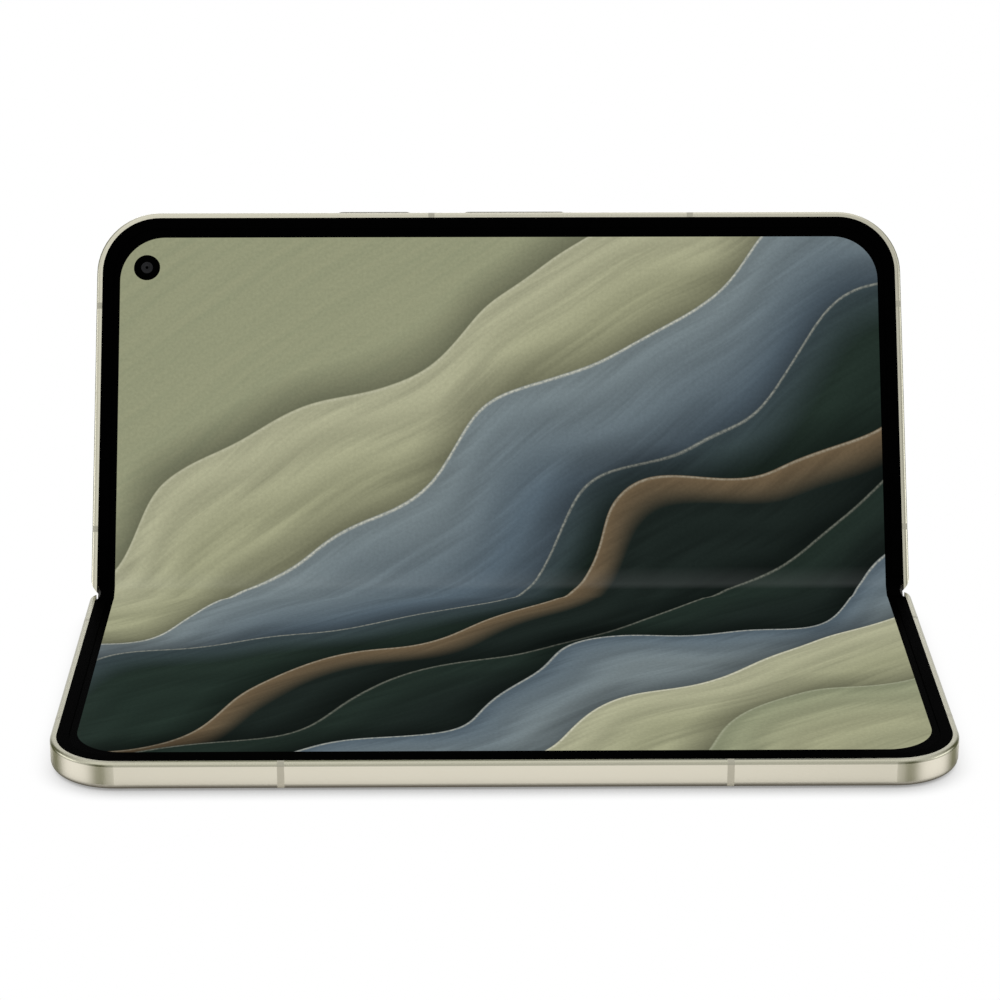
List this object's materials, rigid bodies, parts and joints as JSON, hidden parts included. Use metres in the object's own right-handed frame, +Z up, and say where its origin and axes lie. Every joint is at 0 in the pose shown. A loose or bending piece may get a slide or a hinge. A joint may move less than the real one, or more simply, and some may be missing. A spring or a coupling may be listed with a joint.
{
  "type": "foldable smartphone",
  "caption": "Book-style folding phone with an inner display that bends over a synchronised two-axis hinge, standing part open.",
  "frame": {"origin": "centre of the outer glass the phone rests on, on that glass's outer face", "axes": "+X along the hinge to the viewer's right, +Y away from the viewer, +Z up"},
  "size_m": [0.1552, 0.1168, 0.0689],
  "materials": {
    "frame_metal": "satin, pale champagne",
    "antenna_plastic": "matt",
    "front_glass": "polished, black behind",
    "display_panel": "smooth, lit picture",
    "bezel_plastic": "satin black",
    "plate_steel": "etched sheet",
    "cell_wrap": "foil wrap",
    "circuit_board": "solder mask",
    "black_plastic": "moulded",
    "magnet_metal": "plated",
    "shield_steel": "stamped",
    "hinge_steel": "machined",
    "screw_steel": "machined",
    "gear_steel": "machined",
    "back_glass": "satin etched",
    "deck_metal": "satin",
    "window_glass": "polished, black behind",
    "ring_metal": "turned",
    "lamp_lens": "moulded",
    "coil_copper": "enamelled wire",
    "spine_metal": "polished",
    "cap_plastic": "moulded"
  },
  "bodies": {
    "base": {"base_frame": "frame_metal", "base_antenna_strips": "antenna_plastic", "cover_glass": "front_glass", "cover_oled": "display_panel", "cover_camera": "black_plastic", "base_bezel": "bezel_plastic", "base_display": "display_panel", "base_support_plate": "plate_steel", "base_battery": "cell_wrap", "base_board": "circuit_board", "earpiece": "black_plastic", "base_magnets": "magnet_metal", "sim_reader": "shield_steel", "base_arm_left": "hinge_steel", "base_arm_right": "hinge_steel", "base_sync_arm": "hinge_steel", "base_arm_screws": "screw_steel"},
    "spine": {"spine_cover": "spine_metal", "spine_caps": "cap_plastic", "hinge_block_left": "hinge_steel", "hinge_block_right": "hinge_steel", "sync_block": "hinge_steel", "display_fold": "display_panel", "fold_backing": "plate_steel"},
    "lid": {"lid_frame": "frame_metal", "lid_antenna_strips": "antenna_plastic", "back_glass": "back_glass", "camera_deck": "deck_metal", "camera_windows": "window_glass", "lens_rings": "ring_metal", "wide_camera": "black_plastic", "ultrawide_camera": "black_plastic", "tele_camera": "black_plastic", "flash_lamp": "lamp_lens", "lid_bezel": "bezel_plastic", "lid_display": "display_panel", "lid_support_plate": "plate_steel", "selfie_camera": "black_plastic", "lid_battery": "cell_wrap", "main_board": "circuit_board", "board_shields": "shield_steel", "charging_coil": "coil_copper", "usb_port": "shield_steel", "loudspeaker": "black_plastic", "vibration_motor": "shield_steel", "lid_magnets": "magnet_metal", "lid_arm_left": "hinge_steel", "lid_arm_right": "hinge_steel", "lid_sync_arm": "hinge_steel", "lid_arm_screws": "screw_steel"},
    "sim_tray": {"sim_tray": "frame_metal"},
    "power_button": {"power_button": "frame_metal"},
    "volume_rocker": {"volume_rocker": "frame_metal"},
    "pinion_base": {"sync_pinion_base": "gear_steel"},
    "pinion_lid": {"sync_pinion_lid": "gear_steel"}
  },
  "joints": [
    {"name": "base_hinge", "type": "hinge", "parent": "spine", "child": "base", "pos_m": [0, 0.0381, 0.0039], "axis": [-1, 0, 0], "range_deg": [-29.53, 60.47], "deforming": ["display_fold", "fold_backing"]},
    {"name": "lid_hinge", "type": "hinge", "parent": "spine", "child": "lid", "pos_m": [0, 0.04045, 0.00523], "axis": [1, 0, 0], "range_deg": [-29.53, 60.47]},
    {"name": "pinion_base_spin", "type": "hinge", "parent": "spine", "child": "pinion_base", "pos_m": [0, 0.03947, 0.00281], "axis": [1, 0, 0], "range_deg": [-44.3, 90.7]},
    {"name": "pinion_lid_spin", "type": "hinge", "parent": "spine", "child": "pinion_lid", "pos_m": [0, 0.04068, 0.0035], "axis": [1, 0, 0], "range_deg": [-90.7, 44.3]},
    {"name": "power_press", "type": "slide", "parent": "lid", "child": "power_button", "axis": [0, -0.5141, -0.8577], "range_m": [0, 0.00025], "stiffness_N_per_m": 3000},
    {"name": "volume_rock", "type": "hinge", "parent": "lid", "child": "volume_rocker", "pos_m": [0.003, 0.07861, 0.06607], "axis": [0, -0.8577, 0.5141], "range_deg": [-1.2, 1.2], "stiffness_Nm_per_rad": 1},
    {"name": "tray_slide", "type": "slide", "parent": "base", "child": "sim_tray", "axis": [1, 0, 0], "range_m": [0, 0.02]}
  ],
  "couplings": [
    {"joint": "lid_hinge", "follows": "base_hinge", "ratio": 1},
    {"joint": "pinion_base_spin", "follows": "base_hinge", "ratio": 1.5},
    {"joint": "pinion_lid_spin", "follows": "base_hinge", "ratio": -1.5}
  ]
}
